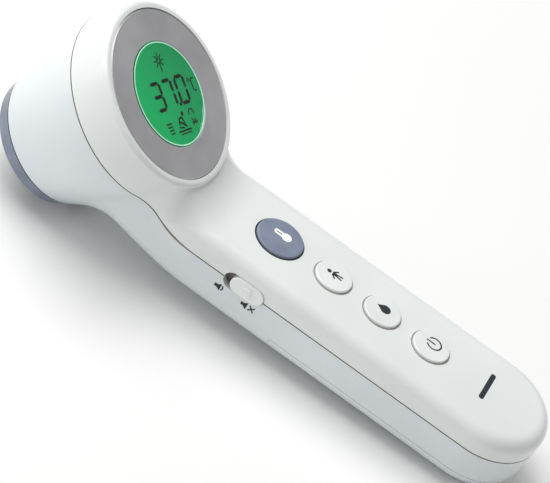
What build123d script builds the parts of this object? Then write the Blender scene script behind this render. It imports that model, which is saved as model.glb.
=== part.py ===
from build123d import *
import os
from math import asin, atan2, cos, degrees, hypot, radians, sin, tan

os.makedirs("parts", exist_ok=True)

# No-touch forehead thermometer with a round display head on a straight handle.
# Body datum: the handle's flat front face, with the main button's centre as its origin,
# y towards the head, z out of the face. All lengths are in millimetres, angles in degrees.

# Handle
half_width = 17.2
depth = 22.2
tail_y = -71.5             # centre of the round end
neck_y = 53.0              # the handle runs on into the head up to here
face_round = 4.0           # rounding along the front edges
back_round = 8.0           # rounding along the back edges
neck_rise = [7.0, 3.4]     # how far the back rises at neck_y, and at waist_y
waist_y = 36.0
waist_start = 14.0         # the back is straight from the tail up to here
neck_round = 18.0          # soft fillet between handle and head
wall = 2.0

# Head: turned about its own axis, which leans towards the handle's end
display_y = 45.5
display_z = 18.8
tilt = 30.3
rim_radius = 25.8
belly_radius = 26.7
belly_depth = 10.5
end_radius = 19.05
head_depth = 40.7
rim_round = 1.3
window_radius = 14.45
bezel_radius = 23.55
bezel_seat = 1.5           # depth of the ledge that the bezel rests on

# Sensor end
ring_end = 45.7            # depth of the touch face below the display
ring_end_radius = 17.4
ring_radius = 18.8
ring_round = 0.8
ring_bore = 12.5
groove = 0.45
opening_radius = 15.0

# Joint between the two shells
parting_z = -7.0
parting_depth = 11.2       # on the head, measured along its axis
parting_gap = 0.25
parting_bend = 30.0
lip = 1.2

# Buttons
pitch = 16.0
button_y = [0.0] + [-1.6 - pitch * step for step in (1, 2, 3)]
button_names = ["main_button", "person_button", "mode_button", "power_button"]
button_radius = [6.95, 5.5, 5.5, 5.5]
button_gap = 0.15
button_proud = 0.8
button_travel = 0.4
flange_top = -1.8
flange_thick = 0.5

# Mute slide on the left side wall
slot_y = -0.25
slot_length = 12.7
slot_height = 5.7
knob_length = 10.4
knob_height = 5.4
knob_travel = 2.0
knob_y = slot_y - knob_travel / 2
knob_z = parting_z

# Circuit boards
board_top = -4.1
board_thick = 1.0
board_half = 13.5
display_board_depth = 8.1
sensor_board_depth = 38.0

# Two AA cells side by side
cell_radius = 7.25
cell_body = 49.5
cell_nub = 1.0
cell_x = 7.4
cell_z = -12.85
bay_near = -20.0
bay_far = -74.7
contact_thick = 0.4
spring_length = 3.4

# Battery door in the back
door_z = -16.2
door_y = -14.0
door_bulge = 4.0
door_gap = 0.15
door_travel = 72.0

# Screws
screw_radius = 1.0
screw_spots = [(9.4, -15.8), (-9.4, -15.8), (0.0, -81.5)]
screw_seats = [-17.8, -17.8, -14.6]
boss_radius = 2.8
boss_end = -9.5
shelf_thick = 1.2
board_screw_spots = [(9.6, -10.2), (9.6, 13.6), (-9.6, 13.6)]


# The thermometer lies on its back: the sensor ring's lowest point and the rounded end of the
# handle's back both rest on the floor, so the body datum leans by a small angle.
lean_sin = sin(radians(tilt))
lean_cos = cos(radians(tilt))


def on_axis(at_depth, across):
    """Body (y, z) of a point at a depth on the head's axis and a distance across it, up the tilted face."""
    y = display_y + at_depth * lean_sin + across * lean_cos
    z = display_z - at_depth * lean_cos + across * lean_sin
    return y, z


ring_low = on_axis(ring_end - ring_round, ring_round - ring_end_radius)
ring_high = on_axis(ring_end - ring_round, ring_end_radius - ring_round)
tail_round = (tail_y - half_width + back_round, back_round - depth)
run = hypot(ring_low[0] - tail_round[0], ring_low[1] - tail_round[1])
slope = atan2(ring_low[1] - tail_round[1], ring_low[0] - tail_round[0])
rest = -(slope + asin((back_round - ring_round) / run))
front_reach = ring_high[0] * cos(rest) - ring_high[1] * sin(rest) + ring_round
tail_edge_y = tail_y - half_width + face_round
tail_reach = tail_edge_y * cos(rest) + face_round * sin(rest) - face_round
floor = tail_round[0] * sin(rest) + tail_round[1] * cos(rest) - back_round

body = Plane(
    origin=(0, -(front_reach + tail_reach) / 2, -floor),
    x_dir=(1, 0, 0),
    z_dir=(0, -sin(rest), cos(rest)),
)
side = Plane(origin=body.origin, x_dir=body.y_dir, z_dir=body.x_dir)


def turned(y, z, angle):
    """A plane at (0, y, z) of the body, turned about the sideways direction."""
    return Plane(body.location * Location((0, y, z), (angle, 0, 0)))


head = turned(display_y, display_z, tilt)
head_section = Plane(origin=head.origin, x_dir=head.x_dir, z_dir=-head.y_dir)
head_axis = Axis(head.origin, head.z_dir)
up = Axis(body.origin, body.z_dir)


def on_both(edge, first, second):
    """Whether an edge runs along the skins of two solids."""
    spots = (edge @ 0.2, edge @ 0.5)
    return all(min(face.distance_to(spot) for face in faces) < 0.01
               for faces in (first, second) for spot in spots)


# ---- Outside form, which both shells and the cavity are cut from ----
def handle_form(inset):
    """The handle's block with its round end, drawn in by inset."""
    half = half_width - inset
    with BuildPart() as form:
        with BuildSketch(body.offset(-2 * depth)):
            with Locations((0, (neck_y + tail_y) / 2)):
                Rectangle(2 * half, neck_y - tail_y)
            with Locations((0, tail_y)):
                Circle(half)
        extrude(amount=3 * depth)
        with BuildSketch(side):
            with BuildLine():
                back = inset - depth
                Polyline((-100, back), (-100, -inset), (neck_y, -inset), (neck_y, back + neck_rise[0]))
                Spline((neck_y, back + neck_rise[0]), (waist_y, back + neck_rise[1]), (waist_start, back),
                       tangents=[(-1, -0.2), (-1, 0)])
                Line((waist_start, back), (-100, back))
            make_face()
        extrude(amount=30, both=True, mode=Mode.INTERSECT)
        front = form.faces().sort_by(up)[-1]
        fillet(front.edges().filter_by(Axis.X, reverse=True), face_round - inset)
        rear = form.faces().filter_by(lambda face: face.normal_at().dot(body.z_dir) < -0.5)
        fillet(rear.edges().filter_by(Axis.X, reverse=True), back_round - inset)
    return form.part


def head_form(inset):
    """The head's turned form, drawn in by inset."""
    rounding = max(rim_round - inset, 0.3)
    rim = rim_radius - inset
    with BuildPart() as form:
        with BuildSketch(head_section):
            with BuildLine():
                Polyline((0, inset - head_depth), (0, -inset), (rim - rounding, -inset))
                CenterArc((rim - rounding, -inset - rounding), rounding, 0, 90)
                Spline((rim, -inset - rounding), (belly_radius - inset, -belly_depth),
                       (25.3 - inset, -20), (23.1 - inset, -28), (end_radius - inset, inset - head_depth),
                       tangents=[(0.12, -1), (-0.36, -1)])
                Line((end_radius - inset, inset - head_depth), (0, inset - head_depth))
            make_face()
        revolve(axis=head_axis)
    return form.part


def body_form(inset):
    """Handle and head joined by the soft neck."""
    handle = handle_form(inset)
    turned_head = head_form(inset)
    with BuildPart() as form:
        add(turned_head)
        add(handle)
        joint = [edge for edge in form.edges(Select.NEW)
                 if on_both(edge, turned_head.faces(), handle.faces())]
        fillet(joint, neck_round)
    return form.part


def front_side(lift):
    """Everything on the display's side of the joint between the shells, moved up by lift."""
    y, z = on_axis(parting_depth, 0)
    corner = y - (z - parting_z) / tan(radians(tilt))
    with BuildPart() as half_space:
        with BuildSketch(Plane(side.location * Location((0, lift, 0)))):
            with BuildLine():
                FilletPolyline((-110, parting_z), (corner, parting_z),
                               on_axis(parting_depth, 60), radius=parting_bend)
                Polyline(on_axis(parting_depth, 60), on_axis(-20, 60), (-110, 60), (-110, parting_z))
            make_face()
        extrude(amount=40, both=True)
    return half_space.part


def door_side(gap):
    """The space that the battery door fills, drawn in by gap."""
    half = 2 * half_width
    with BuildPart() as space:
        with BuildSketch(body.offset(door_z - gap)):
            with BuildLine():
                edge = door_y - gap
                ThreePointArc((-half, edge - 3 * door_bulge), (0, edge + door_bulge), (half, edge - 3 * door_bulge))
                Polyline((half, edge - 3 * door_bulge), (half, -120), (-half, -120), (-half, edge - 3 * door_bulge))
            make_face()
        extrude(amount=-depth)
    return space.part


outside = body_form(0)
lip_outside = body_form(wall / 2)
cavity = body_form(wall)
front_half = front_side(0)
left = side.offset(-half_width)
across = Plane(origin=body.origin, x_dir=body.x_dir, z_dir=-body.y_dir)

with BuildPart() as lip_space:
    add(lip_outside)
    add(front_side(lip), mode=Mode.SUBTRACT)

with BuildPart() as mute_slot:
    with BuildSketch(left.offset(-wall)):
        with Locations((slot_y, knob_z)):
            SlotOverall(slot_length, slot_height)
    extrude(amount=2.5 * wall)

# ---- Casing ----
with BuildPart() as front_shell:
    add(outside)
    add(cavity, mode=Mode.SUBTRACT)
    add(front_half, mode=Mode.INTERSECT)
    add(lip_space.part, mode=Mode.SUBTRACT)
    add(mute_slot.part, mode=Mode.SUBTRACT)
    with BuildSketch(head.offset(-bezel_seat)):
        Circle(bezel_radius + 1)
    extrude(amount=-bezel_seat)
    with BuildSketch(head.offset(-bezel_seat)):
        Circle(bezel_radius + 0.2)
    extrude(amount=3 * bezel_seat, mode=Mode.SUBTRACT)
    with BuildSketch(head.offset(-3 * bezel_seat)):
        Circle(bezel_radius - 2)
    extrude(amount=6 * bezel_seat, mode=Mode.SUBTRACT)
    with BuildSketch(body.offset(flange_top)):
        for y, radius in zip(button_y, button_radius):
            with Locations((0, y)):
                Circle(radius + 1.3)
    extrude(amount=-wall, mode=Mode.SUBTRACT)
    with BuildSketch(body.offset(-2 * wall)):
        for y, radius in zip(button_y, button_radius):
            with Locations((0, y)):
                Circle(radius + button_gap)
    extrude(amount=3 * wall, mode=Mode.SUBTRACT)
    with BuildSketch(body.offset(-0.2)):
        for y, radius in zip(button_y, button_radius):
            with Locations((0, y)):
                Circle(radius + 3 * button_gap)
    extrude(amount=wall, mode=Mode.SUBTRACT)
    with BuildSketch(body.offset(-wall / 2)):
        with Locations(*screw_spots):
            Circle(boss_radius)
    extrude(amount=boss_end + wall / 2)
    with BuildSketch(body.offset(boss_end)):
        with Locations(*screw_spots):
            Circle(screw_radius + 0.02)
    extrude(amount=-boss_end - 1.5 * wall, mode=Mode.SUBTRACT)
    with BuildSketch(body.offset(board_top)):
        with Locations(*board_screw_spots):
            Circle(2.2)
    extrude(amount=-board_top - wall / 2)
    with BuildSketch(body.offset(board_top)):
        with Locations(*board_screw_spots):
            Circle(0.82)
    extrude(amount=1.8, mode=Mode.SUBTRACT)
front_shell.part.label = "front_shell"
export_step(front_shell.part, "parts/front_shell.step")

with BuildPart() as rear_shell:
    add(outside)
    add(front_side(-parting_gap), mode=Mode.SUBTRACT)
    add(lip_space.part)
    add(cavity, mode=Mode.SUBTRACT)
    add(mute_slot.part, mode=Mode.SUBTRACT)
    add(door_side(0), mode=Mode.SUBTRACT)
    with BuildSketch(head.offset(-head_depth - wall)):
        Circle(opening_radius)
    extrude(amount=2 * wall, mode=Mode.SUBTRACT)
    # shelf behind the door's front edge, which the two front screws pull on
    with BuildSketch(body.offset(-depth + wall + 1.0)):
        with Locations((0, -13.75)):
            Rectangle(24.4, 10.5)
    extrude(amount=shelf_thick)
    with BuildSketch(body.offset(-depth + wall - 0.5)):
        with Locations((10.2, -8.0), (-10.2, -8.0)):
            Rectangle(4, 2)
    extrude(amount=1.6)
    # posts, then the third screw's shelf at the round end
    with BuildSketch(body.offset(boss_end - 0.1)):
        with Locations(*screw_spots[:2]):
            Circle(boss_radius)
    extrude(amount=-depth + wall + 1.1 - boss_end)
    with BuildSketch(body.offset(boss_end - 0.1)):
        with Locations(screw_spots[2]):
            Circle(boss_radius)
    extrude(amount=door_z + 0.2 - boss_end + 0.1)
    with BuildPart(mode=Mode.PRIVATE) as end_shelf:
        with BuildSketch(body.offset(door_z + 0.2)):
            with Locations((0, -82.5)):
                Rectangle(2 * half_width, 12)
        extrude(amount=shelf_thick)
        add(lip_outside, mode=Mode.INTERSECT)
    add(end_shelf.part)
    for (x, y), seat in zip(screw_spots, screw_seats):
        with BuildSketch(body.offset(-depth)):
            with Locations((x, y)):
                Circle(screw_radius + 0.1)
        extrude(amount=depth + boss_end, mode=Mode.SUBTRACT)
        with BuildSketch(body.offset(seat)):
            with Locations((x, y)):
                Circle(2.1)
        extrude(amount=-1.6, mode=Mode.SUBTRACT)
rear_shell.part.label = "rear_shell"
export_step(rear_shell.part, "parts/rear_shell.step")

with BuildPart() as battery_door:
    add(outside)
    add(cavity, mode=Mode.SUBTRACT)
    add(door_side(door_gap), mode=Mode.INTERSECT)
    with BuildSketch(body.offset(-depth + wall - 0.4)):
        with Locations((0, -13.0)):
            Rectangle(8, 3.0)
    extrude(amount=1.1)
    with BuildSketch(body.offset(-depth + wall + 0.1)):
        with Locations((0, -10.5)):
            Rectangle(8, 7.0)
    extrude(amount=0.6)
battery_door.part.label = "battery_door"
export_step(battery_door.part, "parts/battery_door.step")

with BuildPart() as door_foam:
    with BuildSketch(body.offset(-depth + wall)):
        with Locations((0, -48)):
            Rectangle(3.6, 44)
    extrude(amount=1.8)
door_foam.part.label = "door_foam"
export_step(door_foam.part, "parts/door_foam.step")

# ---- Sensor end ----
with BuildPart() as sensor_ring:
    with BuildSketch(head_section):
        with BuildLine():
            Polyline((ring_bore, -37.0), (16.2, -37.0), (16.2, -38.6), (opening_radius - 0.2, -38.6),
                     (opening_radius - 0.2, -head_depth), (18.0, -head_depth), (18.0, -head_depth - groove),
                     (ring_radius, -head_depth - groove), (ring_end_radius, -ring_end),
                     (ring_bore + 0.4, -ring_end), (ring_bore, 0.4 - ring_end), close=True)
        make_face()
    revolve(axis=head_axis)
    circles = sensor_ring.edges().filter_by(GeomType.CIRCLE)
    outer_rim = circles.filter_by(lambda edge: abs(edge.radius - ring_end_radius) < 0.01)
    fillet(outer_rim, ring_round)
sensor_ring.part.label = "sensor_ring"
export_step(sensor_ring.part, "parts/sensor_ring.step")

port_radius = 10.0
with BuildPart() as sensor_faceplate:
    with BuildSketch(head.offset(-ring_end + 0.7)):
        Circle(ring_bore - 0.1)
        Circle(7.6, mode=Mode.SUBTRACT)
        with PolarLocations(port_radius, 3, start_angle=90):
            Circle(1.4, mode=Mode.SUBTRACT)
    extrude(amount=1.2)
sensor_faceplate.part.label = "sensor_faceplate"
export_step(sensor_faceplate.part, "parts/sensor_faceplate.step")

with BuildPart() as sensor_cone:
    with BuildSketch(head_section):
        with BuildLine():
            Polyline((4.4, -39.7), (6.8, 0.8 - ring_end), (7.5, 0.8 - ring_end), (5.1, -39.7), close=True)
        make_face()
    revolve(axis=head_axis)
sensor_cone.part.label = "sensor_cone"
export_step(sensor_cone.part, "parts/sensor_cone.step")

with BuildPart() as ir_window:
    with BuildSketch(head.offset(-39.6)):
        Circle(4.15)
    extrude(amount=0.55)
ir_window.part.label = "ir_window"
export_step(ir_window.part, "parts/ir_window.step")

with BuildPart() as thermopile:
    with BuildSketch(head.offset(-39.0)):
        Circle(4.15)
    extrude(amount=5.0)
    fillet(thermopile.edges().sort_by(head_axis)[0], 0.4)
    with BuildSketch(head.offset(-34.0)):
        with PolarLocations(1.3, 4, start_angle=45):
            Circle(0.25)
    extrude(amount=2.6)
thermopile.part.label = "thermopile"
export_step(thermopile.part, "parts/thermopile.step")

with BuildPart() as sensor_holder:
    with BuildSketch(head_section):
        with BuildLine():
            Polyline((1.9, -33.2), (7.4, -33.2), (7.4, -36.8), (11.8, -36.8), (11.8, -37.9), (7.4, -37.9),
                     (7.4, -39.0), (4.2, -39.0), (4.2, -34.0), (1.9, -34.0), close=True)
        make_face()
    revolve(axis=head_axis)
sensor_holder.part.label = "sensor_holder"
export_step(sensor_holder.part, "parts/sensor_holder.step")

with BuildPart() as sensor_board:
    with BuildSketch(head.offset(-sensor_board_depth - 1)):
        Circle(ring_bore - 0.1)
        Circle(7.6, mode=Mode.SUBTRACT)
    extrude(amount=board_thick)
sensor_board.part.label = "sensor_board"
export_step(sensor_board.part, "parts/sensor_board.step")

with BuildPart() as proximity_sensors:
    with BuildSketch(head.offset(-ring_end + 0.8)):
        with PolarLocations(port_radius, 2, start_angle=210, angular_range=240):
            Circle(1.3)
    extrude(amount=ring_end - 0.8 - sensor_board_depth - 1)
proximity_sensors.part.label = "proximity_sensors"
export_step(proximity_sensors.part, "parts/proximity_sensors.step")

with BuildPart() as guide_light:
    with BuildSketch(head.offset(-ring_end + 0.8)):
        with Locations((0, port_radius)):
            Circle(1.3)
    extrude(amount=ring_end - 0.8 - sensor_board_depth - 1)
guide_light.part.label = "guide_light"
export_step(guide_light.part, "parts/guide_light.step")

# ---- Display stack, from the bezel inwards ----
with BuildPart() as display_bezel:
    with BuildSketch(head_section):
        with BuildLine():
            inner = window_radius + 0.15
            Polyline((inner, -1.45), (inner, -0.45), (inner + 0.25, -0.3), (bezel_radius - 0.4, -0.1),
                     (bezel_radius, -0.4), (bezel_radius, -1.45), close=True)
        make_face()
    revolve(axis=head_axis)
display_bezel.part.label = "display_bezel"
export_step(display_bezel.part, "parts/display_bezel.step")

with BuildPart() as display_lens:
    with BuildSketch(head.offset(-1.4)):
        Circle(window_radius)
    extrude(amount=1.05)
display_lens.part.label = "display_lens"
export_step(display_lens.part, "parts/display_lens.step")

lcd_half = 15.2
with BuildPart() as lcd_glass:
    with BuildSketch(head.offset(-3.3)):
        Rectangle(2 * lcd_half, 2 * lcd_half)
        chamfer(vertices(), 3)
    extrude(amount=1.75)
lcd_glass.part.label = "lcd_glass"
export_step(lcd_glass.part, "parts/lcd_glass.step")

with BuildPart() as light_guide:
    with BuildSketch(head.offset(-5.8)):
        with Locations((0, 1.15)):
            Rectangle(29.2, 26.9)
    extrude(amount=2.4)
light_guide.part.label = "light_guide"
export_step(light_guide.part, "parts/light_guide.step")

with BuildPart() as display_frame:
    with BuildSketch(head.offset(-8.0)):
        Circle(21.2)
        with Locations((0, -14.1)):
            Rectangle(27.2, 2.2, mode=Mode.SUBTRACT)
    extrude(amount=4.65)
    with BuildSketch(head.offset(-5.9)):
        with Locations((0, 1.15)):
            Rectangle(29.6, 27.3)
        with Locations((-7, 15.5), (7, 15.5)):
            Rectangle(3.4, 2.2)
    extrude(amount=3, mode=Mode.SUBTRACT)
display_frame.part.label = "display_frame"
export_step(display_frame.part, "parts/display_frame.step")

with BuildPart() as elastomer_strip:
    with BuildSketch(head.offset(-display_board_depth)):
        with Locations((0, -14.1)):
            Rectangle(26.8, 1.8)
    extrude(amount=display_board_depth - 3.3)
elastomer_strip.part.label = "elastomer_strip"
export_step(elastomer_strip.part, "parts/elastomer_strip.step")

with BuildPart() as backlight_leds:
    with BuildSketch(head.offset(-4.8)):
        with Locations((-7, 15.45), (7, 15.45)):
            Rectangle(3.0, 1.2)
    extrude(amount=1.2)
backlight_leds.part.label = "backlight_leds"
export_step(backlight_leds.part, "parts/backlight_leds.step")

with BuildPart() as display_board:
    with BuildSketch(head.offset(-display_board_depth - board_thick)):
        Circle(20.8)
    extrude(amount=board_thick)
display_board.part.label = "display_board"
export_step(display_board.part, "parts/display_board.step")

with BuildPart() as display_driver:
    with BuildSketch(head.offset(-display_board_depth - 2.1)):
        Rectangle(8, 8)
    extrude(amount=1.1)
    fillet(display_driver.edges().filter_by(head_axis), 0.3)
display_driver.part.label = "display_driver"
export_step(display_driver.part, "parts/display_driver.step")

# ---- Flat cables ----
with BuildPart() as display_ribbon:
    with BuildSketch(side):
        with BuildLine():
            FilletPolyline((14.6, board_top + 0.15), (25, board_top + 0.15), (32.5, -0.6),
                           on_axis(display_board_depth + board_thick + 0.4, -15), radius=4)
        trace(line_width=0.3)
    extrude(amount=5, both=True)
display_ribbon.part.label = "display_ribbon"
export_step(display_ribbon.part, "parts/display_ribbon.step")

with BuildPart() as sensor_ribbon:
    with BuildSketch(head.offset(-36.7)):
        with Locations((0, 9.6)):
            Rectangle(6, 0.3)
    extrude(amount=36.7 - display_board_depth - board_thick - 0.1)
sensor_ribbon.part.label = "sensor_ribbon"
export_step(sensor_ribbon.part, "parts/sensor_ribbon.step")

# ---- Main board and what stands on it ----
with BuildPart() as main_board:
    with BuildSketch(body.offset(board_top - board_thick)):
        with Locations((0, -22.75)):
            Rectangle(2 * board_half, 78.5)
        with Locations(*screw_spots[:2]):
            Circle(boss_radius + 0.4, mode=Mode.SUBTRACT)
        with Locations(*board_screw_spots):
            Circle(0.95, mode=Mode.SUBTRACT)
    extrude(amount=board_thick)
main_board.part.label = "main_board"
export_step(main_board.part, "parts/main_board.step")

with BuildPart() as tact_switches:
    with BuildSketch(body.offset(board_top)):
        with Locations(*[(0, y) for y in button_y]):
            Rectangle(5.2, 5.2)
            Circle(1.05, mode=Mode.SUBTRACT)
    extrude(amount=0.8)
tact_switches.part.label = "tact_switches"
export_step(tact_switches.part, "parts/tact_switches.step")

with BuildPart() as microcontroller:
    with BuildSketch(body.offset(board_top - board_thick - 1.0)):
        with Locations((0, -9)):
            Rectangle(7, 7)
    extrude(amount=1.0)
microcontroller.part.label = "microcontroller"
export_step(microcontroller.part, "parts/microcontroller.step")

with BuildPart() as board_chips:
    with BuildSketch(body.offset(board_top - board_thick - 0.6)):
        with Locations((-6.5, -9.5)):
            with GridLocations(2.4, 2.0, 2, 4):
                Rectangle(1.6, 0.8)
    extrude(amount=0.6)
board_chips.part.label = "board_chips"
export_step(board_chips.part, "parts/board_chips.step")

with BuildPart() as buzzer:
    with BuildSketch(body.offset(board_top - board_thick - 4.0)):
        with Locations((4.5, 5.5)):
            Circle(6)
    extrude(amount=4.0)
    with BuildSketch(body.offset(board_top - board_thick - 4.0)):
        with Locations((4.5, 5.5)):
            Circle(1.0)
    extrude(amount=1.5, mode=Mode.SUBTRACT)
buzzer.part.label = "buzzer"
export_step(buzzer.part, "parts/buzzer.step")

with BuildPart() as board_screws:
    with BuildSketch(body.offset(board_top - board_thick)):
        with Locations(*board_screw_spots):
            Circle(1.6)
    extrude(amount=-1.0)
    with BuildSketch(body.offset(board_top - board_thick)):
        with Locations(*board_screw_spots):
            Circle(0.8)
    extrude(amount=2.6)
board_screws.part.label = "board_screws"
export_step(board_screws.part, "parts/board_screws.step")

with BuildPart() as case_screws:
    for (x, y), seat in zip(screw_spots, screw_seats):
        with BuildSketch(body.offset(seat)):
            with Locations((x, y)):
                Circle(2.0)
        extrude(amount=-1.3)
        with BuildSketch(body.offset(seat)):
            with Locations((x, y)):
                Circle(screw_radius)
        extrude(amount=-seat - 5.0)
case_screws.part.label = "case_screws"
export_step(case_screws.part, "parts/case_screws.step")

# ---- Buttons, each with the switch plunger that it pushes ----
for name, y, radius in zip(button_names, button_y, button_radius):
    with BuildPart() as button:
        with BuildSketch(body.offset(flange_top - flange_thick)):
            with Locations((0, y)):
                Circle(radius + 0.9)
        extrude(amount=flange_thick)
        with BuildSketch(body.offset(flange_top)):
            with Locations((0, y)):
                Circle(radius)
        extrude(amount=button_proud - flange_top)
        fillet(button.edges().sort_by(up)[-1], 0.4)
    button.part.label = name
    export_step(button.part, f"parts/{name}.step")

    plunger_name = name.replace("button", "plunger")
    with BuildPart() as plunger:
        with BuildSketch(body.offset(flange_top - flange_thick)):
            with Locations((0, y)):
                Circle(1.0)
        extrude(amount=-1.3)
    plunger.part.label = plunger_name
    export_step(plunger.part, f"parts/{plunger_name}.step")

# ---- Mute slide ----
with BuildPart() as mute_knob:
    with BuildSketch(left.offset(-0.4)):
        with Locations((knob_y, knob_z)):
            SlotOverall(knob_length, knob_height)
    extrude(amount=2.6)
    fillet(mute_knob.faces().sort_by(Axis.X)[0].edges(), 0.35)
    with BuildSketch(left.offset(2.2)):
        with Locations((knob_y, knob_z)):
            Rectangle(slot_length + knob_travel + 0.8, slot_height + 1.0)
    extrude(amount=0.6)
    with BuildSketch(left.offset(-0.9)):
        with Locations((knob_y, knob_z)):
            RectangleRounded(2.3, 2.6, 0.5)
    extrude(amount=1.0)
mute_knob.part.label = "mute_knob"
export_step(mute_knob.part, "parts/mute_knob.step")

with BuildPart() as switch_lever:
    with BuildSketch(left.offset(2.8)):
        with Locations((knob_y, knob_z)):
            Rectangle(1.5, 1.5)
    extrude(amount=1.8)
switch_lever.part.label = "switch_lever"
export_step(switch_lever.part, "parts/switch_lever.step")

with BuildPart() as slide_switch:
    with BuildSketch(left.offset(3.8)):
        with Locations((0, (board_top - board_thick + knob_z - 1.6) / 2)):
            Rectangle(10, board_top - board_thick - knob_z + 1.6)
    extrude(amount=4)
    with BuildSketch(left.offset(3.8)):
        with Locations((slot_y, knob_z)):
            Rectangle(1.9 + knob_travel, 1.9)
    extrude(amount=1.2, mode=Mode.SUBTRACT)
slide_switch.part.label = "slide_switch"
export_step(slide_switch.part, "parts/slide_switch.step")

# ---- Batteries ----
with BuildPart() as battery_tray:
    with BuildSketch(body.offset(board_top - board_thick - 0.05)):
        with Locations((0, -46.15)):
            Rectangle(29.8, 54.7)
        with Locations((0, -74.7)):
            Rectangle(27.8, 2.4)
    extrude(amount=-0.4)
    with BuildSketch(across.offset(-bay_near - 1.2)):
        with Locations((0, -10.3)):
            Rectangle(29.8, 10.3)
    extrude(amount=1.2)
    with BuildSketch(across.offset(-bay_far)):
        with Locations((0, -10.3)):
            Rectangle(27.8, 10.3)
    extrude(amount=1.2)
    with BuildSketch(across.offset(-bay_near)):
        with BuildLine():
            Polyline((-2, -5.5), (2, -5.5), (1, -8.9), (-1, -8.9), close=True)
        make_face()
    extrude(amount=bay_near - bay_far - 2 * contact_thick)
battery_tray.part.label = "battery_tray"
export_step(battery_tray.part, "parts/battery_tray.step")

nub_at_head = -bay_near + contact_thick
body_starts = [nub_at_head + cell_nub, nub_at_head + spring_length]
nub_starts = [nub_at_head, nub_at_head + spring_length + cell_body]
for name, x, body_start, nub_start in zip(
        ["battery_right", "battery_left"], [cell_x, -cell_x], body_starts, nub_starts):
    with BuildPart() as cell:
        with BuildSketch(across.offset(body_start)):
            with Locations((x, cell_z)):
                Circle(cell_radius)
        extrude(amount=cell_body)
        fillet(cell.edges().filter_by(GeomType.CIRCLE), 0.7)
        with BuildSketch(across.offset(nub_start)):
            with Locations((x, cell_z)):
                Circle(2.75)
        extrude(amount=cell_nub)
    cell.part.label = name
    export_step(cell.part, f"parts/{name}.step")

with BuildPart() as contact_plates:
    with BuildSketch(across.offset(-bay_near)):
        with Locations((cell_x, cell_z), (-cell_x, cell_z)):
            Rectangle(10, 9)
    extrude(amount=contact_thick)
contact_plates.part.label = "contact_plates"
export_step(contact_plates.part, "parts/contact_plates.step")

with BuildPart() as contact_bridge:
    with BuildSketch(across.offset(-bay_far - contact_thick)):
        with Locations((0, -11.0)):
            Rectangle(24.8, 8)
    extrude(amount=contact_thick)
contact_bridge.part.label = "contact_bridge"
export_step(contact_bridge.part, "parts/contact_bridge.step")

wire = 0.22                # half the thickness of the eight-sided wire
spring_starts = [nub_at_head + cell_nub + cell_body, nub_at_head]
with BuildPart() as contact_springs:
    for x, start in zip([cell_x, -cell_x], spring_starts):
        seat = Plane(across.location * Location((x, cell_z, start + wire)))
        with BuildLine() as coil:
            Helix(pitch=(spring_length - 2 * wire) / 4, height=spring_length - 2 * wire, radius=2.6,
                  center=seat.origin, direction=seat.z_dir)
        with BuildSketch(Plane(origin=coil.line @ 0, x_dir=seat.z_dir, z_dir=coil.line % 0)):
            RegularPolygon(wire, 8)
        sweep(path=coil.line)
contact_springs.part.label = "contact_springs"
export_step(contact_springs.part, "parts/contact_springs.step")
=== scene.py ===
from math import cos, pi, radians, sin

import bpy
from bpy.props import FloatProperty, FloatVectorProperty, PointerProperty
from mathutils import Matrix, Vector


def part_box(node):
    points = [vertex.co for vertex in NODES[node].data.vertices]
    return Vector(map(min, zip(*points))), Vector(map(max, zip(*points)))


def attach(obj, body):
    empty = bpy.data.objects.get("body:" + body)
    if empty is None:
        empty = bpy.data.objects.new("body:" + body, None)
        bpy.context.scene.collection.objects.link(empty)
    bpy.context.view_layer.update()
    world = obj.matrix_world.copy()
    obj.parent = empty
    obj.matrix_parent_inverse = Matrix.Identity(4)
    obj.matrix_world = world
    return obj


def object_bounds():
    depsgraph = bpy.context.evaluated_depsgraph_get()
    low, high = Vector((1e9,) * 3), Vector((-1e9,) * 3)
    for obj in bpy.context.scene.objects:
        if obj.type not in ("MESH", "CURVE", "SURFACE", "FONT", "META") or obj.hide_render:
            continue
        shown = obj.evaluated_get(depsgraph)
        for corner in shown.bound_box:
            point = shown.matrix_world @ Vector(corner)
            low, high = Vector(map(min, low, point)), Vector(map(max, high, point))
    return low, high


bl_info = {
    "name": "No-touch thermometer looks",
    "version": (1, 0, 0),
    "blender": (4, 5, 0),
    "location": "View3D > Sidebar > Thermometer",
    "description": "Prints, small mouldings, finishes and a soft studio for the thermometer",
    "category": "Object",
}

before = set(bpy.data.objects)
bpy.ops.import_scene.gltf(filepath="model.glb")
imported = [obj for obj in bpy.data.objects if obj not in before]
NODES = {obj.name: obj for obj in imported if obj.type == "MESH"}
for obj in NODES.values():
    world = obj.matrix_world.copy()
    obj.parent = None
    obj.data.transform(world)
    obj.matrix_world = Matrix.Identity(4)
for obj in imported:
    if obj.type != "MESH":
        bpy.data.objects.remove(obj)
CAD_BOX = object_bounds()
MM = 0.001

# ---- Datums: the handle's frame read from the imported nodes, the keys' and display's places given ----
# The four keys stand on the handle's flat face, so their centres give its lean and its height.
KEYS = {"main": 0.0, "person": -17.6, "mode": -33.6, "power": -49.6}
KEY_PROUD = 0.8
DISPLAY_TILT = 30.3
DISPLAY_AT = (45.5, 18.8)


def centre(node):
    low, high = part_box(node)
    return (low + high) / 2


ALONG = (centre("person_button") - centre("power_button")).normalized()
OUT = Vector((1, 0, 0)).cross(ALONG)
FACE = max(v.co.dot(OUT) for v in NODES["main_button"].data.vertices)
KEY_TOP = [v.co.dot(ALONG) for v in NODES["main_button"].data.vertices if v.co.dot(OUT) > FACE - 0.01 * MM]
ORIGIN = ALONG * (min(KEY_TOP) + max(KEY_TOP)) / 2 + OUT * (FACE - KEY_PROUD * MM)
BODY = Matrix((Vector((1, 0, 0)), ALONG, OUT)).transposed().to_4x4()
BODY.translation = ORIGIN


def on_face(x, y, z):
    """Matrix of a print that lies on the handle's front, its top towards the head."""
    return BODY @ Matrix.Translation(Vector((x, y, z)) * MM)


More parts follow.
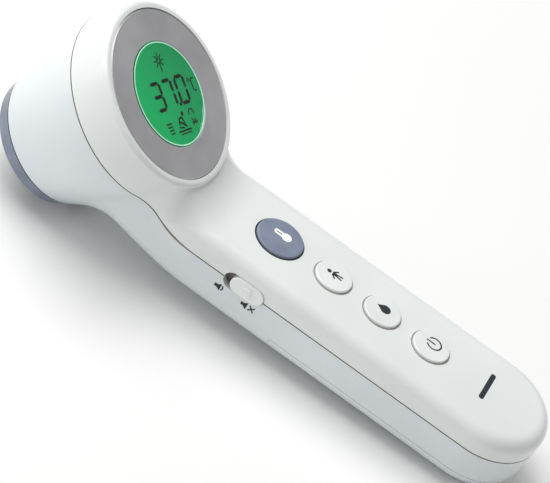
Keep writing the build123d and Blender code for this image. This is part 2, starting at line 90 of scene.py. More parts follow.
def on_display(x, up, depth):
    """Matrix of a print on the tilted display, at a depth below its rim."""
    place = Matrix.Translation(Vector((0, *DISPLAY_AT)) * MM)
    turn = Matrix.Rotation(radians(DISPLAY_TILT), 4, "X")
    return BODY @ place @ turn @ Matrix.Translation(Vector((x, up, -depth)) * MM)


def on_wall(y, z, x):
    """Matrix of a print on the left side wall, read with the head to the left."""
    turn = Matrix(((0, 0, -1), (-1, 0, 0), (0, 1, 0))).to_4x4()
    return BODY @ Matrix.Translation(Vector((x, y, z)) * MM) @ turn


# ---- Finishes ----
def linear(hex_colour):
    """An sRGB hex colour as linear values; a colour property is linear already."""
    if not isinstance(hex_colour, str):
        return (*hex_colour[:3], 1.0)
    parts = [int(hex_colour[i:i + 2], 16) / 255 for i in (0, 2, 4)]
    return tuple(p / 12.92 if p <= 0.04045 else ((p + 0.055) / 1.055) ** 2.4 for p in parts) + (1.0,)


def add_node(tree, kind, links=None, inputs=None, **settings):
    """Adds one node, sets it up and links it: links and inputs are by socket name or number."""
    node = tree.nodes.new("ShaderNode" + kind)
    for key, value in settings.items():
        setattr(node, key, value)
    for key, value in (inputs or {}).items():
        node.inputs[key].default_value = value
    for key, source in (links or {}).items():
        tree.links.new(source, node.inputs[key])
    return node


def moulded(name, light, dark, rough, grain=0.6, bump=0.02, blotch=18.0, wear="", **shader):
    """A finish whose colour drifts between two near tones, with a fine surface grain in mm."""
    finish = bpy.data.materials.new(name)
    finish.use_nodes = True
    tree = finish.node_tree
    surface = tree.nodes["Principled BSDF"]
    place = add_node(tree, "TexCoord").outputs["Object"]
    drift = add_node(tree, "TexNoise", {"Vector": place}, {"Scale": 1 / (blotch * MM), "Detail": 2.0})
    fine = add_node(tree, "TexNoise", {"Vector": place}, {"Scale": 1 / (grain * MM), "Detail": 3.0})
    colour = add_node(tree, "ValToRGB", {"Fac": drift.outputs["Fac"]})
    colour.color_ramp.elements[0].position, colour.color_ramp.elements[1].position = 0.3, 0.7
    colour.color_ramp.elements[0].color = linear(dark)
    colour.color_ramp.elements[1].color = linear(light)
    tone = colour.outputs["Color"]
    if wear:
        rubbed = add_node(tree, "NewGeometry").outputs["Pointiness"]
        edge = add_node(tree, "MapRange", {"Value": rubbed},
                        {"From Min": 0.52, "From Max": 0.6, "To Max": 0.5})
        worn = add_node(tree, "Mix", {"Factor": edge.outputs["Result"], 6: tone}, {7: linear(wear)},
                        data_type="RGBA")
        tone = worn.outputs[2]
    tree.links.new(tone, surface.inputs["Base Color"])
    gloss = add_node(tree, "MapRange", {"Value": fine.outputs["Fac"]},
                     {"To Min": rough * 0.85, "To Max": rough * 1.15})
    tree.links.new(gloss.outputs["Result"], surface.inputs["Roughness"])
    relief = add_node(tree, "Bump", {"Height": fine.outputs["Fac"]},
                      {"Strength": 0.35, "Distance": bump * MM})
    tree.links.new(relief.outputs["Normal"], surface.inputs["Normal"])
    for key, value in shader.items():
        surface.inputs[key.replace("_", " ")].default_value = value
    return finish


def backlit(name, left, right, strength):
    """A liquid crystal cell lit from behind: even green that falls off a little to one side."""
    finish = moulded(name, "0a3a22", "08301c", 0.25, grain=0.3, bump=0.005, Specular_IOR_Level=0.05)
    tree = finish.node_tree
    surface = tree.nodes["Principled BSDF"]
    place = add_node(tree, "TexCoord").outputs["Object"]
    across = add_node(tree, "SeparateXYZ", {"Vector": place}).outputs["X"]
    cloud = add_node(tree, "TexNoise", {"Vector": place}, {"Scale": 1 / (9 * MM), "Detail": 1.0})
    shift = add_node(tree, "MapRange", {"Value": across}, {"From Min": -10 * MM, "From Max": 13 * MM})
    mixed = add_node(tree, "Math", {0: cloud.outputs["Fac"], 2: shift.outputs["Result"]}, {1: 0.25},
                     operation="MULTIPLY_ADD")
    glow = add_node(tree, "ValToRGB", {"Fac": mixed.outputs[0]})
    glow.color_ramp.elements[0].position, glow.color_ramp.elements[1].position = 0.1, 1.0
    glow.color_ramp.elements[0].color = linear(left)
    glow.color_ramp.elements[1].color = linear(right)
    tree.links.new(glow.outputs["Color"], surface.inputs["Emission Color"])
    surface.inputs["Emission Strength"].default_value = strength
    return finish


def banded(name, colours, axis, period, rough, **shader):
    """A moulded finish with bands across one axis, such as a cell's wrap or a striped rubber."""
    finish = moulded(name, colours[0], colours[0], rough, **shader)
    tree = finish.node_tree
    place = add_node(tree, "TexCoord").outputs["Object"]
    along = add_node(tree, "SeparateXYZ", {"Vector": place}).outputs[axis]
    turns = add_node(tree, "Math", {0: along}, {1: 1 / (period * MM)}, operation="MULTIPLY")
    part = add_node(tree, "Math", {0: turns.outputs[0]}, operation="FRACT")
    bands = add_node(tree, "ValToRGB", {"Fac": part.outputs[0]})
    bands.color_ramp.interpolation = "CONSTANT"
    bands.color_ramp.elements[0].color = linear(colours[0])
    bands.color_ramp.elements[1].position = 0.62
    bands.color_ramp.elements[1].color = linear(colours[1])
    tree.links.new(bands.outputs["Color"], tree.nodes["Principled BSDF"].inputs["Base Color"])
    return finish


def paint_recess_shade(name, light, shade, depth_from, depth_to, **settings):
    """A moulded finish whose colour goes from its light tone to a painted shade, deeper in from the left wall."""
    finish = moulded(name, light, light, **settings)
    tree = finish.node_tree
    place = add_node(tree, "TexCoord").outputs["Object"]
    inward = add_node(tree, "SeparateXYZ", {"Vector": place}).outputs["X"]
    part = add_node(tree, "MapRange", {"Value": inward}, {"From Min": depth_from * MM, "From Max": depth_to * MM})
    tone = add_node(tree, "ValToRGB", {"Fac": part.outputs["Result"]})
    tone.color_ramp.elements[0].color = linear(light)
    tone.color_ramp.elements[1].color = linear(shade)
    tree.links.new(tone.outputs["Color"], tree.nodes["Principled BSDF"].inputs["Base Color"])
    return finish


def above(tree, place, origin, normal, shift):
    """Signed distance of a point over a plane, plus a shift in mm."""
    dot = add_node(tree, "VectorMath", {0: place}, {1: normal}, operation="DOT_PRODUCT")
    return add_node(tree, "Math", {0: dot.outputs["Value"]}, {1: shift * MM - origin.dot(normal)},
                    operation="ADD").outputs[0]


def paint_shade(finish, height, start, end, shade):
    """Paints shade into a finish's base colour where a height, in mm, goes from start to end."""
    tree = finish.node_tree
    base = tree.nodes["Principled BSDF"].inputs["Base Color"]
    part = add_node(tree, "MapRange", {"Value": height}, {"From Min": start * MM, "From Max": end * MM})
    tone = add_node(tree, "Mix", {"Factor": part.outputs["Result"], 6: base.links[0].from_socket},
                    {7: linear(shade)}, data_type="RGBA")
    tree.links.new(tone.outputs[2], base)


def over_seam(finish):
    """Height over the line where the two shells meet, which bends softly up onto the head."""
    tree = finish.node_tree
    place = add_node(tree, "TexCoord").outputs["Object"]
    rim = on_display(0, 0, 0)
    on_handle = above(tree, place, ORIGIN, OUT, 7.0)
    on_head = above(tree, place, rim.translation, rim.to_3x3().col[2], 11.2)
    bend = 4.17 * MM
    return add_node(tree, "Math", {0: on_handle, 1: on_head}, {2: bend}, operation="SMOOTH_MIN").outputs[0]


def paint_seam_shade():
    """Paints shade into the colour along the shells' joint and the sensor ring's groove, warm on white and navy on
    slate.
    """
    seam_shade = "8a7c70"
    # Painted warm shade along the shells' joint, on both shells.
    paint_shade(FINISHES["shell_white"], over_seam(FINISHES["shell_white"]), 0.1, 0.05, seam_shade)
    paint_shade(FINISHES["rear_white"], over_seam(FINISHES["rear_white"]), -0.33, -0.28, seam_shade)
    ring = FINISHES["ring_slate"]
    place = add_node(ring.node_tree, "TexCoord").outputs["Object"]
    rim = on_display(0, 0, 0)
    over_groove = above(ring.node_tree, place, rim.translation, rim.to_3x3().col[2], 41.2)
    # Painted navy shade in the sensor ring's groove.
    paint_shade(ring, over_groove, 0.0, 0.05, "1c2233")


def make_finishes(colours):
    """Every finish of the thermometer, by the record's slot or by its own name."""
    white, slate = colours.casing_white, colours.slate
    return {
        # Gloss ABS from a polished tool: clean highlights over the faintest ripple.
        "shell_white": moulded("abs_gloss_moulded", white, "e2e6e4", 0.24, grain=1.1, bump=0.012, blotch=45.0,
                               Coat_Weight=0.25, Coat_Roughness=0.06, IOR=1.53),
        "key_white": moulded("abs_gloss_keys", white, "e4e8e6", 0.26, grain=0.9, bump=0.012, blotch=12.0,
                             Coat_Weight=0.2, Coat_Roughness=0.08, IOR=1.53),
        # The lower shell and the door are a slightly darker, cooler white than the upper shell.
        "rear_white": moulded("abs_gloss_rear", colours.rear_white, "d8dfe2", 0.25, grain=1.1, bump=0.012,
                              blotch=45.0, Coat_Weight=0.25, Coat_Roughness=0.07, IOR=1.53),
        "door_white": moulded("abs_gloss_door", colours.rear_white, "d8dfe2", 0.25, grain=1.1, bump=0.012,
                              blotch=38.0, Coat_Weight=0.25, Coat_Roughness=0.07, IOR=1.53),
        # The slide's cap is gloss white, and its skirt inside the slot is painted a warm dark grey as shade in the
        # slot.
        "knob_white": paint_recess_shade("abs_gloss_slide_painted_shade", white, "6e655f", -15.6, -15.1, rough=0.26, grain=1.1,
                               bump=0.012, Coat_Weight=0.2, Coat_Roughness=0.08, IOR=1.53),
        # Soft black and grey silicone rings in the key gaps, dull with a fine grain; their dark tone is painted shade
        # of the gap round each key.
        "seal_shade_black": moulded("silicone_black_gap_shade", "15171c", "0e0f13", 0.6, grain=0.3, bump=0.01, blotch=3.0),
        "seal_shade_grey": moulded("silicone_grey_gap_shade", "a39f9a", "938f8b", 0.6, grain=0.3, bump=0.01, blotch=3.0),
        # Satin ABS from a lightly sparked tool: soft sheen, fine even grain.
        "slate_plastic": moulded("abs_satin_slate", slate, "6f788c", 0.36, grain=0.35, bump=0.02, blotch=8.0,
                                 wear="a5aebd", IOR=1.53),
        "ring_slate": moulded("abs_satin_ring", slate, "6f788c", 0.34, grain=0.35, bump=0.02, blotch=8.0,
                              IOR=1.53),
        # Grey lacquer with fine metal flake over plastic, which darkens away from the light.
        "bezel_grey": moulded("flake_lacquer_grey", colours.bezel, "b2b2b5", 0.38, grain=0.2, bump=0.006,
                              blotch=14.0, Metallic=0.55, Coat_Weight=0.15, Coat_Roughness=0.2),
        # Polished acrylic window with an anti-glare coat, which shows only a thin reflection.
        "clear_lens": moulded("acrylic_polished", "f4fbf8", "eef7f3", 0.03, grain=2.0, bump=0.001,
                              blotch=20.0, Transmission_Weight=1.0, IOR=1.3),
        "lcd": backlit("lcd_cell_backlit", "00a65c", "008c52", 1.0),
        # Frosted acrylic that spreads the backlight.
        "light_guide": moulded("acrylic_frosted", "e3f0e6", "d5e6da", 0.5, grain=0.25, bump=0.01,
                               Transmission_Weight=0.3, IOR=1.49),
        "inner_white": moulded("abs_natural_moulded", "dcdcd6", "cfcfc8", 0.5, grain=0.5, bump=0.02),
        "black_plastic": moulded("pbt_black_moulded", "17181b", "0e0f11", 0.5, grain=0.3, bump=0.02),
        # Silicone with thin carbon-filled layers that show as stripes.
        "conductive_rubber": banded("silicone_layered", ("1a1a1a", "c9c4b6"), "X", 0.5, 0.6),
        "foam": moulded("foam_closed_cell", "2b2b2e", "19191b", 0.9, grain=0.5, bump=0.15),
        # Green solder mask over glass weave: glossy, with the weave just readable.
        "board_green": moulded("solder_mask_green", "1f6a3a", "124a28", 0.3, grain=0.45, bump=0.02, blotch=3.0),
        # Polyimide film, amber and springy, with a satin face.
        "flex_amber": moulded("polyimide_film", "c47a1e", "a8611a", 0.32, grain=0.8, bump=0.01, blotch=2.5),
        "led_resin": moulded("resin_cast_clear", "f2f1df", "e6e4cc", 0.12, grain=0.8, bump=0.004,
                             Transmission_Weight=0.4, IOR=1.52),
        "dark_resin": moulded("resin_infrared_black", "1c1219", "120b11", 0.12, grain=0.8, bump=0.004, IOR=1.52),
        # Bright nickel over steel strip: cool mirror with faint rolling marks.
        "nickel": moulded("nickel_plated_strip", "d3cfc6", "b9b5ac", 0.2, grain=0.35, bump=0.008, blotch=2.0,
                          Metallic=1.0),
        "holder_metal": moulded("aluminium_turned", "c9cacd", "b4b5b9", 0.3, grain=0.25, bump=0.012, blotch=2.0,
                                Metallic=1.0),
        "silicon_window": moulded("silicon_polished", "3c3f48", "30333b", 0.06, grain=1.0, bump=0.001,
                                  Metallic=0.9),
        "screw_steel": moulded("steel_zinc_plated", "b9bbbd", "999b9e", 0.32, grain=0.3, bump=0.015, blotch=1.5,
                               Metallic=1.0),
        # Printed foil wrap: dark body with a copper band near one end.
        "cell_wrap": banded("foil_wrap_printed", ("2b2f36", "b0763a"), "Y", 80.0, 0.3, Metallic=0.6),
        # Pad-printed inks lie flat and slightly duller than the gloss around them.
        "ink_dark": moulded("ink_pad_slate", "27323a", "1d262d", 0.42, grain=0.25, bump=0.004, blotch=1.5),
        "ink_black": moulded("ink_pad_black", "0d1114", "07090b", 0.42, grain=0.25, bump=0.004, blotch=1.5),
        # The white ink also glows faintly: painted light that keeps the main key's print bright.
        "ink_white_glowing": moulded("ink_pad_white_glowing", "ffffff", "f4f6f8", 0.4, grain=0.25, bump=0.004, blotch=1.5,
                             Emission_Color=(1, 1, 1, 1), Emission_Strength=0.12),
        "segments": moulded("lcd_segments_dark", "03140a", "020d06", 0.5, grain=0.3, bump=0.002, blotch=2.0,
                            Specular_IOR_Level=0.05),
        "segments_faint": moulded("lcd_segments_faint", "06351e", "042a17", 0.5, grain=0.3, bump=0.002,
                                  blotch=2.0, Specular_IOR_Level=0.05, Emission_Color=linear("00552f"),
                                  Emission_Strength=0.25),
        # The window's polished edge as a pale line that glows by emission: a painted highlight.
        "edge_highlight_glow": moulded("acrylic_edge_painted_highlight", "bfe6d2", "a9dcc2", 0.3, grain=0.5, bump=0.003, blotch=6.0,
                             Emission_Color=linear("8fd0b0"), Emission_Strength=0.35),
        "floor": moulded("paper_sweep", "fbfbfa", "f7f7f6", 0.85, grain=2.0, bump=0.02, blotch=300.0),
    }


# ---- Flat prints: outlines in mm, x to the right and y up ----
def arc(x, y, radius, start, end, steps=24):
    """Points round a centre from one angle to another, in degrees."""
    turns = [radians(start + (end - start) * step / steps) for step in range(steps + 1)]
    return [(x + radius * cos(turn), y + radius * sin(turn)) for turn in turns]


def disc(x, y, radius):
    return arc(x, y, radius, 0, 350, 35)


def stroke(start, end, width):
    """A straight stroke with round ends."""
    line = Vector(end) - Vector(start)
    heading = line.angle_signed(Vector((1, 0))) * 180 / pi
    return (arc(*end, width / 2, heading - 90, heading + 90, 8)
            + arc(*start, width / 2, heading + 90, heading + 270, 8))


def band(x, y, radius, width, start, end):
    """Part of a ring."""
    return arc(x, y, radius + width / 2, start, end) + arc(x, y, radius - width / 2, end, start)


def segment(start, end, width):
    """One bar of a seven-segment digit, with pointed ends."""
    line = (Vector(end) - Vector(start)).normalized()
    across = Vector((-line.y, line.x)) * width / 2
    first, last = Vector(start) + line * 0.1, Vector(end) - line * 0.1
    inset = line * width / 2
    return [tuple(p) for p in (first, first + inset - across, last - inset - across, last,
                               last - inset + across, first + inset + across)]


def lay_print(name, shapes, place, finish, body, thickness):
    """A print of closed outlines at a matrix, each a list of loops whose later loops are holes."""
    bpy.ops.object.select_all(action="DESELECT")
    layers = []
    for loops in shapes:
        flat = bpy.data.curves.new(name, "CURVE")
        flat.dimensions, flat.fill_mode = "2D", "BOTH"
        flat.extrude = thickness / 2 * MM
        for loop in loops:
            spline = flat.splines.new("POLY")
            spline.points.add(len(loop) - 1)
            for point, (x, y) in zip(spline.points, loop):
                point.co = (x * MM, y * MM, 0, 1)
            spline.use_cyclic_u = True
        layer = bpy.data.objects.new(name, flat)
        bpy.context.scene.collection.objects.link(layer)
        layer.select_set(True)
        layers.append(layer)
    bpy.context.view_layer.objects.active = layers[0]
    bpy.ops.object.convert(target="MESH")
    if len(layers) > 1:
        bpy.ops.object.join()
    piece = bpy.context.view_layer.objects.active
    piece.data.transform(place)
    tidy_mesh(piece)
    return dress(piece, name, finish, body)


def tidy_mesh(piece):
    """Merges doubled points and turns every face outwards."""
    bpy.ops.object.mode_set(mode="EDIT")
    bpy.ops.mesh.select_all(action="SELECT")
    bpy.ops.mesh.remove_doubles(threshold=0.002 * MM)
    bpy.ops.mesh.normals_make_consistent(inside=False)
    bpy.ops.object.mode_set(mode="OBJECT")


def dress(piece, name, finish, body):
    """Names a piece, gives it its finish and hangs it on its body."""
    piece.name = piece.data.name = name
    piece.data.materials.clear()
    piece.data.materials.append(FINISHES[finish])
    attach(piece, body)
    return piece


def ring_piece(name, radius, width, height, place, finish):
    """A flat ring with softened edges that stands on a matrix."""
    bpy.ops.object.select_all(action="DESELECT")
    bpy.ops.mesh.primitive_circle_add(vertices=96, radius=radius * MM, fill_type="NGON")
    ring = bpy.context.active_object
    bpy.ops.object.mode_set(mode="EDIT")
    bpy.ops.mesh.inset(thickness=width * MM)
    bpy.ops.mesh.delete(type="FACE")
    bpy.ops.mesh.select_all(action="SELECT")
    bpy.ops.mesh.extrude_region_move(TRANSFORM_OT_translate={"value": (0, 0, height * MM)})
    bpy.ops.mesh.select_all(action="SELECT")
    bpy.ops.mesh.bevel(offset=0.03 * MM, segments=2)
    bpy.ops.object.mode_set(mode="OBJECT")
    ring.data.transform(place)
    tidy_mesh(ring)
    return dress(ring, name, finish, "casing")


FINISHES = {}
GREEN_GLASS_DEPTH = 1.55      # below the display's rim
DIGIT_LEAN = -17.3            # degrees that the reading is turned on the round window
INK = 0.03                    # thickness of a print, in mm


# ---- Properties ----
class ThermometerColours(bpy.types.PropertyGroup):
    """The colours that a user would change."""
    casing_white: FloatVectorProperty(name="Casing", description="Upper shell and keys", subtype="COLOR",
                                      default=linear("edf1ef")[:3], min=0, max=1)
    rear_white: FloatVectorProperty(name="Lower casing", description="Lower shell and battery door",
                                    subtype="COLOR", default=linear("e6ebee")[:3], min=0, max=1)
    slate: FloatVectorProperty(name="Slate parts", description="Main key and sensor ring", subtype="COLOR",
                               default=linear("868fa3")[:3], min=0, max=1)
    bezel: FloatVectorProperty(name="Bezel", description="Ring round the display", subtype="COLOR",
                               default=linear("c6c6c8")[:3], min=0, max=1)


class ThermometerSizes(bpy.types.PropertyGroup):
    """The sizes that a user would change."""
    digit_height: FloatProperty(name="Digit height", description="Height of the reading's digits",
                                default=8.3 * MM, min=3 * MM, max=10 * MM, unit="LENGTH")
    digit_width: FloatProperty(name="Digit width", description="Width of one digit", default=4.9 * MM,
                               min=2 * MM, max=6 * MM, unit="LENGTH")
    bar_width: FloatProperty(name="Bar width", description="Thickness of a digit's bars", default=1.05 * MM,
                             min=0.3 * MM, max=1.5 * MM, unit="LENGTH")
    floor_size: FloatProperty(name="Floor", description="Side of the square floor", default=4.0, min=1,
                              max=20, unit="LENGTH")


# ---- Operators ----
class THERMO_OT_finishes(bpy.types.Operator):
    """Gives every CAD node its finish, and paints shade along the shells' joint and the ring's groove"""
    bl_idname = "thermo.finishes"
    bl_label = "Finish the casing and inner parts"

    def execute(self, context):
        FINISHES.update(make_finishes(context.scene.thermo_colours))
        own = {"rear_shell": "rear_white", "battery_door": "door_white", "mute_knob": "knob_white",
               "sensor_ring": "ring_slate", "person_button": "key_white", "mode_button": "key_white",
               "power_button": "key_white"}
        # Paints shade along the shells' joint and in the sensor ring's groove.
        paint_seam_shade()
        for name, node in NODES.items():
            finish = FINISHES[own.get(name, node.data.materials[0].name)]
            for place in node.material_slots:
                place.material = finish
        return {"FINISHED"}


class THERMO_OT_reading(bpy.types.Operator):
    """Lays the reading, 37.0 degrees, on the display"""
    bl_idname = "thermo.reading"
    bl_label = "Temperature reading"

    # Bars of each digit, lettered a to g clockwise from the top with g in the middle.
    BARS = {"3": "abcdg", "7": "abc", "0": "abcdef"}
    STARTS = {"3": -6.2, "7": -0.9, "0": 5.1}

    def execute(self, context):
        sizes = context.scene.thermo_sizes
        width, height, bar = (value / MM for value in (sizes.digit_width, sizes.digit_height, sizes.bar_width))
        top = 3.7
        shapes = []
        for digit, left in self.STARTS.items():
            right, middle, foot = left + width - bar, top - (height - bar) / 2, top - height + bar
            ends = {"a": ((left, top), (right, top)), "b": ((right, top), (right, middle)),
                    "c": ((right, middle), (right, foot)), "d": ((left, foot), (right, foot)),
                    "e": ((left, middle), (left, foot)), "f": ((left, top), (left, middle)),
                    "g": ((left, middle), (right, middle))}
            shapes += [[segment(*ends[letter], bar)] for letter in self.BARS[digit]]
        shapes.append([stroke((4.25, top - height + bar), (4.35, top - height + bar), bar)])
        shapes.append([disc(11.1, 1.9, 0.62), disc(11.1, 1.9, 0.3)])
        shapes += [[segment(*ends, 0.5)] for ends in (((12.2, 2.1), (13.7, 2.1)), ((12.2, 2.1), (12.2, -1.3)),
                                                      ((12.2, -1.3), (13.7, -1.3)))]
        place = on_display(0, 0, GREEN_GLASS_DEPTH - INK / 2) @ Matrix.Rotation(radians(DIGIT_LEAN), 4, "Z")
        lay_print("reading_digits", shapes, place, "segments", "casing", INK)
        return {"FINISHED"}


class THERMO_OT_symbols(bpy.types.Operator):
    """Lays the small display symbols round the reading"""
    bl_idname = "thermo.symbols"
    bl_label = "Display symbols"

    def execute(self, context):
        place = on_display(0, 0, GREEN_GLASS_DEPTH - INK / 2) @ Matrix.Rotation(radians(DIGIT_LEAN), 4, "Z")
        sun_x, sun_y = 1.45, 9.2
        sun = [[disc(sun_x, sun_y, 0.9), disc(sun_x, sun_y, 0.42)]]
        for turn in range(0, 360, 45):
            ray = Vector((cos(radians(turn)), sin(radians(turn))))
            tip = 3.1 if turn == 270 else 2.0
            sun.append([stroke(tuple(Vector((sun_x, sun_y)) + ray * 1.15),
                               tuple(Vector((sun_x, sun_y)) + ray * tip), 0.48)])
        lay_print("guide_light_symbol", sun, place, "segments_faint", "casing", INK)
        child = [[disc(3.2, -6.0, 0.6)], [stroke((2.6, -6.9), (1.1, -7.1), 0.55)],
                 [stroke((1.1, -7.1), (0.5, -8.6), 0.55)], [stroke((2.5, -7.0), (2.9, -8.9), 0.6)],
                 [stroke((1.3, -8.1), (3.4, -9.5), 0.6)], [stroke((0.2, -9.4), (2.0, -9.7), 0.5)],
                 [stroke((-0.7, -10.5), (4.9, -10.5), 0.5)], [stroke((0.1, -11.3), (4.7, -11.3), 0.35)]]
        lay_print("child_symbol", child, place, "segments", "casing", INK)
        level = [[stroke((-5.0 + step * 0.25, -7.6 - step * 0.9), (-2.9, -7.6 - step * 0.9), 0.5)]
                 for step in range(4)]
        lay_print("level_symbol", level, place, "segments_faint", "casing", INK)
        night = [[band(7.3, -6.6, 1.1, 0.5, -30, 200)], [stroke((6.6, -8.1), (8.2, -9.7), 0.45)],
                 [stroke((8.3, -8.4), (6.8, -9.8), 0.45)], [stroke((6.4, -9.2), (8.8, -9.2), 0.45)]]
        lay_print("night_symbol", night, place, "segments_faint", "casing", INK)
        return {"FINISHED"}


class THERMO_OT_key_prints(bpy.types.Operator):
    """Prints the four keys: thermometer, person, drop and power"""
    bl_idname = "thermo.key_prints"
    bl_label = "Key prints"

    def execute(self, context):
        tube, bulb, bulb_y = 0.95, 1.5, -1.25
        neck = 180 - 2 * 39.3
        outline = arc(0, 1.75, tube, 0, 180) + arc(0, bulb_y, bulb, 180 - 50.7, 360 + 50.7, 32)
        slit = arc(0, 1.75, 0.26, 0, 180, 8) + arc(0, 0.45, 0.26, 180, 360, 8)
        icons = {
            "main": (1.3, "ink_white_glowing", [[outline, slit]]),
            "person": (0.55, "ink_dark", [
                [disc(0, 1.9, 0.66)],
                [[(-0.75, 0.85), (0.75, 0.85), (0.5, -0.7), (-0.5, -0.7)]],
                [stroke((-0.6, 0.6), (-1.5, -0.35), 0.48)], [stroke((0.6, 0.6), (1.5, -0.35), 0.48)],
                [stroke((-0.3, -0.5), (-0.55, -2.1), 0.5)], [stroke((0.3, -0.5), (0.55, -2.1), 0.5)]]),
            "mode": (0.95, "ink_dark", [[arc(0, -0.35, 1.58, 150, 390, 32) + [(0.35, 1.7), (0, 2.35), (-0.35, 1.7)]]]),
            "power": (1.15, "ink_dark", [[band(0, -0.3, 2.12, 0.46, 122, 418)], [stroke((0, 2.0), (0, -0.5), 0.46)]]),
        }
        for key, (x, ink, shapes) in icons.items():
            lay_print(f"{key}_key_print", shapes, on_face(x, KEYS[key], KEY_PROUD + INK / 2), ink,
                      f"{key}_button_key", INK)
        return {"FINISHED"}


class THERMO_OT_mute_prints(bpy.types.Operator):
    """Prints the sound and mute signs beside the slide"""
    bl_idname = "thermo.mute_prints"
    bl_label = "Sound and mute prints"

    def execute(self, context):
        speaker = [(-1.4, -0.52), (-0.45, -0.52), (0.3, -1.15), (0.5, -1.15), (0.5, 1.15), (0.3, 1.15),
                   (-0.45, 0.52), (-1.4, 0.52)]
        wave = band(-0.1, 0, 1.25, 0.4, -42, 42)
        cross = [[stroke((1.25, -0.75), (2.7, 0.75), 0.4)], [stroke((1.25, 0.75), (2.7, -0.75), 0.4)]]
        wall_x, row_z = -17.2 - INK / 2, -11.2
        lay_print("sound_print", [[speaker], [wave]], on_wall(5.7, row_z, wall_x), "ink_black", "casing", INK)
        lay_print("mute_print", [[speaker]] + cross, on_wall(-2.9, row_z, wall_x), "ink_black", "casing", INK)
        return {"FINISHED"}


class THERMO_OT_end_bar(bpy.types.Operator):
    """Prints a plain bar near the handle's end"""
    bl_idname = "thermo.end_bar"
    bl_label = "Plain end bar"

    def execute(self, context):
        lay_print("end_bar_print", [[stroke((-5.0, 0), (5.0, 0), 1.5)]], on_face(0.6, -68.0, INK / 2), "ink_dark",
                  "casing", INK)
        return {"FINISHED"}


class THERMO_OT_window_edge(bpy.types.Operator):
    """Makes the pale glowing ring round the display window, a painted highlight of its edge"""
    bl_idname = "thermo.window_edge"
    bl_label = "Lit window edge"

    def execute(self, context):
        ring_piece("window_edge_painted_highlight", 14.34, 0.3, 0.12, on_display(0, 0, 0.34), "edge_highlight_glow")
        return {"FINISHED"}


class THERMO_OT_key_seal_shades(bpy.types.Operator):
    """Sets a soft seal into the gap round each key, its dark tone painted shade of the gap"""
    bl_idname = "thermo.key_seals"
    bl_label = "Key seals"

    def execute(self, context):
        for key, y in KEYS.items():
            low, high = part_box(f"{key}_button")
            inside = (high.x - low.x) / 2 / MM - 0.9 + 0.02
            # Each ring's dark tone is painted shade in the key's gap.
            ring_piece(f"{key}_key_seal_shade", inside + 0.41, 0.4, 0.2, on_face(0, y, -0.18),
                       "seal_shade_black" if key == "main" else "seal_shade_grey")
        return {"FINISHED"}


class THERMO_OT_door_grip(bpy.types.Operator):
    """Moulds the thumb ribs and the opening arrow on the battery door"""
    bl_idname = "thermo.door_grip"
    bl_label = "Battery door grip"

    def execute(self, context):
        bpy.ops.object.select_all(action="DESELECT")
        back, ribs = -22.2, []
        for step in range(5):
            half = 6.0 - 0.5 * step
            bpy.ops.mesh.primitive_cube_add(size=1, location=(0, 0, 0),
                                            scale=(2 * half * MM, 0.9 * MM, 0.7 * MM))
            bpy.ops.object.transform_apply(location=True, rotation=True, scale=True)
            rib = context.active_object
            bpy.ops.object.mode_set(mode="EDIT")
            bpy.ops.mesh.select_all(action="SELECT")
            bpy.ops.mesh.bevel(offset=0.3 * MM, segments=3)
            bpy.ops.object.mode_set(mode="OBJECT")
            rib.data.transform(on_face(0, -24.0 - 1.8 * step, back))
            ribs.append(rib)
        for rib in ribs:
            rib.select_set(True)
        bpy.ops.object.join()
        grip = context.active_object
        tidy_mesh(grip)
        for face in grip.data.polygons:
            face.use_smooth = True
        dress(grip, "door_grip_ribs", "door_white", "door")
        arrow = [(0, -2.4), (2.6, 0.6), (1.0, 0.6), (1.0, 2.4), (-1.0, 2.4), (-1.0, 0.6), (-2.6, 0.6)]
        lay_print("door_arrow", [[arrow]], on_face(0, -37.5, back - 0.1), "door_white", "door", 0.25)
        return {"FINISHED"}


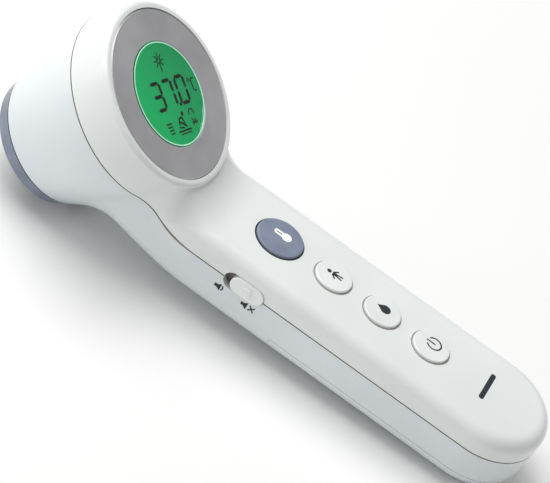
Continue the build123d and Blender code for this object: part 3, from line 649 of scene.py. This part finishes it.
class THERMO_OT_studio(bpy.types.Operator):
    """Sets up the pale floor, soft lights and camera"""
    bl_idname = "thermo.studio"
    bl_label = "Studio"

    def execute(self, context):
        scene = context.scene
        bpy.ops.object.select_all(action="DESELECT")
        side = scene.thermo_sizes.floor_size
        bpy.ops.mesh.primitive_grid_add(x_subdivisions=4, y_subdivisions=4, size=side,
                                        location=(0, 0, CAD_BOX[0].z - 0.3 * MM))
        floor = context.active_object
        floor.name = "floor"
        bpy.ops.object.transform_apply(location=True)
        floor.data.materials.append(FINISHES["floor"])
        # name: place, target, size, watts
        lights = {
            "overhead_softbox": ((0.1, 0.55, 1.0), (0, 0, 0), 0.9, 10.6),
            "front_fill": ((-0.9, 0.5, 0.4), (0, 0.03, 0.03), 0.5, 0.6),
            "head_strip": ((-0.35, 0.9, 0.35), (0, 0.05, 0.03), 0.25, 0.7),
            "sheen_card": ((0.55, 0.25, 0.95), (0, 0.04, 0.04), 0.3, 0.7),
        }
        for name, (spot, target, size, watts) in lights.items():
            bpy.ops.object.light_add(type="AREA", location=spot)
            lamp = context.active_object
            lamp.name = name
            lamp.rotation_euler = (Vector(target) - Vector(spot)).to_track_quat("-Z", "Y").to_euler()
            lamp.data.shape, lamp.data.size, lamp.data.energy = "SQUARE", size, watts
        world = bpy.data.worlds.new("pale_studio")
        scene.world = world
        world.use_nodes = True
        world.node_tree.nodes["Background"].inputs["Color"].default_value = (1.0, 1.0, 1.0, 1.0)
        world.node_tree.nodes["Background"].inputs["Strength"].default_value = 0.38
        scene.view_settings.view_transform = "Standard"
        bpy.ops.object.camera_add(location=(-0.55902, -0.04126, 0.48291),
                                  rotation=(radians(46.5258), radians(-23.1463), radians(-65.0230)))
        camera = context.active_object
        camera.data.sensor_width, camera.data.lens = 36.0, 176.807
        camera.data.clip_start, camera.data.clip_end = 0.01, 20
        scene.camera = camera
        return {"FINISHED"}


OPERATORS = (THERMO_OT_finishes, THERMO_OT_reading, THERMO_OT_symbols, THERMO_OT_key_prints,
             THERMO_OT_mute_prints, THERMO_OT_end_bar, THERMO_OT_window_edge, THERMO_OT_key_seal_shades,
             THERMO_OT_door_grip,
             THERMO_OT_studio)


class THERMO_PT_panel(bpy.types.Panel):
    """Lists the thermometer's pieces and colours"""
    bl_label = "Thermometer"
    bl_space_type = "VIEW_3D"
    bl_region_type = "UI"
    bl_category = "Thermometer"

    def draw(self, context):
        scene = context.scene
        for group in (scene.thermo_colours, scene.thermo_sizes):
            for name in group.__annotations__:
                self.layout.prop(group, name)
        for operator in OPERATORS:
            self.layout.operator(operator.bl_idname)


CLASSES = (ThermometerColours, ThermometerSizes, *OPERATORS, THERMO_PT_panel)


def register():
    for cls in CLASSES:
        bpy.utils.register_class(cls)
    bpy.types.Scene.thermo_colours = PointerProperty(type=ThermometerColours)
    bpy.types.Scene.thermo_sizes = PointerProperty(type=ThermometerSizes)


def unregister():
    del bpy.types.Scene.thermo_sizes
    del bpy.types.Scene.thermo_colours
    for cls in reversed(CLASSES):
        bpy.utils.unregister_class(cls)


def main():
    register()
    for operator in OPERATORS:
        group, name = operator.bl_idname.split(".")
        getattr(getattr(bpy.ops, group), name)()


if __name__ == "__main__":
    main()
